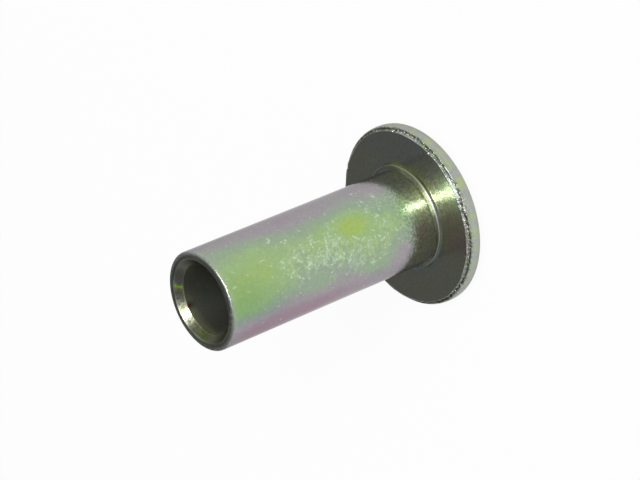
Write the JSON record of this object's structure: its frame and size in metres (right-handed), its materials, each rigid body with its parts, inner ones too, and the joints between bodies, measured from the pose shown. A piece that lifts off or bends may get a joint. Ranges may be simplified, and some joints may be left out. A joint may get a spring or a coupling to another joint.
{
  "type": "hollow rivet",
  "caption": "Flat-headed hollow rivet in yellow-passivated zinc-plated steel, with a thin-walled shank, a blind bore and a countersunk mouth for rolling over.",
  "frame": {"origin": "centre of the flat on top of the head, which the rivet stands on", "axes": "+Z along the rivet's axis, from the head to the open end of the shank; the rivet is round about Z, so X and Y are any two cross directions"},
  "size_m": [0.015, 0.015, 0.0227],
  "materials": {
    "plated_steel": "zinc plate with an iridescent yellow-green and pink passivation, softly glossy"
  },
  "bodies": {
    "root": {"rivet": "plated_steel"}
  },
  "joints": []
}
